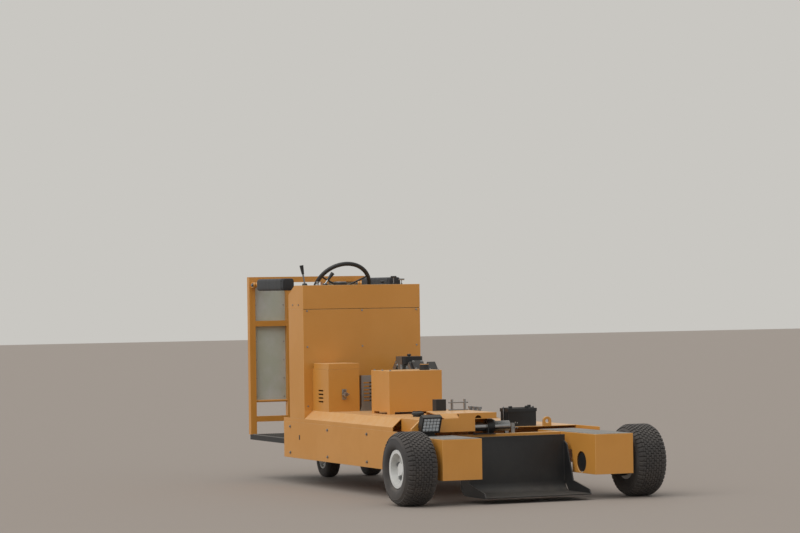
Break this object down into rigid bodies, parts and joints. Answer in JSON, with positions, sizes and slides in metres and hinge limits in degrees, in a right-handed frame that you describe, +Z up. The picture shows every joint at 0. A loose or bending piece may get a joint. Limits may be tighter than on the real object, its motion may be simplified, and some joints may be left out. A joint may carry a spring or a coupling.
{
  "type": "aircraft pushback tractor",
  "caption": "Low stand-on tractor with a nose-wheel scoop between two front pods, a tall console, a rear platform with a guard and steered rear wheels.",
  "frame": {"origin": "on the ground under the middle of the bounding box", "axes": "+X forward, +Y to the machine's left, +Z up"},
  "size_m": [3.454, 1.795, 1.5347],
  "materials": {
    "yellow_paint": "semi-gloss orange-yellow machine paint",
    "black_paint": "satin black paint",
    "black_plastic": "moulded black plastic",
    "tyre_rubber": "dusty black turf tyre",
    "white_rim": "white wheel enamel",
    "foam": "closed-cell foam sleeve",
    "bare_steel": "plated and bare steel",
    "aluminium": "cast and sheet aluminium",
    "engine_metal": "engine castings and shrouds",
    "white_sheet": "translucent white plastic sheet",
    "grit_pad": "grey non-slip pad"
  },
  "bodies": {
    "chassis": {"frame_rails": "yellow_paint", "cross_members": "yellow_paint", "side_panel_right": "yellow_paint", "side_panel_left": "yellow_paint", "deck_right": "yellow_paint", "deck_left": "yellow_paint", "winch_cover": "yellow_paint", "deck_fittings": "black_plastic", "pod_right": "yellow_paint", "pod_left": "yellow_paint", "step_pads": "grit_pad", "drive_motors": "black_paint", "work_lamp": "black_paint", "winch": "bare_steel", "lift_brackets": "yellow_paint", "platform": "black_paint", "guard_frame": "yellow_paint", "guard_sheet": "white_sheet", "console_body": "yellow_paint", "console_front": "yellow_paint", "console_cover": "yellow_paint", "steering_column": "black_plastic", "levers": "black_plastic", "louvre_box": "yellow_paint", "hydraulic_tank": "yellow_paint", "engine": "engine_metal", "blower_housing": "black_paint", "oil_cooler": "aluminium", "battery_box": "black_plastic", "valve_bank": "bare_steel"},
    "wheel_right": {"tyre_right": "tyre_rubber", "rim_right": "white_rim"},
    "wheel_left": {"tyre_left": "tyre_rubber", "rim_left": "white_rim"},
    "scoop": {"scoop_bucket": "black_paint", "scoop_arms": "yellow_paint"},
    "lift_barrel": {"lift_barrel": "black_paint"},
    "lift_rod": {"lift_rod": "bare_steel"},
    "steer_yoke": {"steer_yoke": "yellow_paint"},
    "twin_wheels": {"steer_wheels": "tyre_rubber"},
    "steering_wheel": {"steering_wheel": "black_plastic"},
    "arm_right": {"arm_right": "yellow_paint", "foam_right": "foam"},
    "arm_left": {"arm_left": "yellow_paint", "foam_left": "foam"},
    "louvre_lid": {"louvre_lid": "yellow_paint"}
  },
  "joints": [
    {"name": "front_right_spin", "type": "hinge", "parent": "chassis", "child": "wheel_right", "pos_m": [1.498, -0.7895, 0.229], "axis": [0, 1, 0], "continuous": true},
    {"name": "front_left_spin", "type": "hinge", "parent": "chassis", "child": "wheel_left", "pos_m": [1.498, 0.7895, 0.229], "axis": [0, 1, 0], "continuous": true},
    {"name": "scoop_lift", "type": "hinge", "parent": "chassis", "child": "scoop", "pos_m": [0.648, 0, 0.3], "axis": [0, -1, 0], "range_deg": [0, 10]},
    {"name": "lift_barrel_tilt", "type": "hinge", "parent": "chassis", "child": "lift_barrel", "pos_m": [0.288, 0, 0.215], "axis": [0, -1, 0], "range_deg": [0, 3.16]},
    {"name": "lift_rod_slide", "type": "slide", "parent": "lift_barrel", "child": "lift_rod", "axis": [0.9977, 0, -0.0685], "range_m": [0, 0.01751]},
    {"name": "steer", "type": "hinge", "parent": "chassis", "child": "steer_yoke", "pos_m": [-1.452, 0, 0.26], "axis": [0, 0, 1], "range_deg": [-75, 75]},
    {"name": "twin_spin", "type": "hinge", "parent": "steer_yoke", "child": "twin_wheels", "pos_m": [-1.452, 0, 0.127], "axis": [0, 1, 0], "continuous": true},
    {"name": "steering_wheel_turn", "type": "hinge", "parent": "chassis", "child": "steering_wheel", "pos_m": [-0.938, -0.25, 1.35], "axis": [-0.8387, 0, 0.5446], "range_deg": [-375, 375]},
    {"name": "arm_right_flip", "type": "hinge", "parent": "chassis", "child": "arm_right", "pos_m": [-1.64, -0.622, 1.382], "axis": [0, -1, 0], "range_deg": [0, 90]},
    {"name": "arm_left_flip", "type": "hinge", "parent": "chassis", "child": "arm_left", "pos_m": [-1.64, 0.185, 1.382], "axis": [0, -1, 0], "range_deg": [0, 90]},
    {"name": "lid_open", "type": "hinge", "parent": "chassis", "child": "louvre_lid", "pos_m": [-0.588, -0.4975, 0.83], "axis": [0, -1, 0], "range_deg": [0, 80]}
  ],
  "couplings": [
    {"joint": "lift_barrel_tilt", "follows": "scoop_lift", "ratio": 0.31531},
    {"joint": "lift_rod_slide", "follows": "scoop_lift", "m_per_rad": 0.099737},
    {"joint": "steering_wheel_turn", "follows": "steer", "ratio": -5}
  ]
}
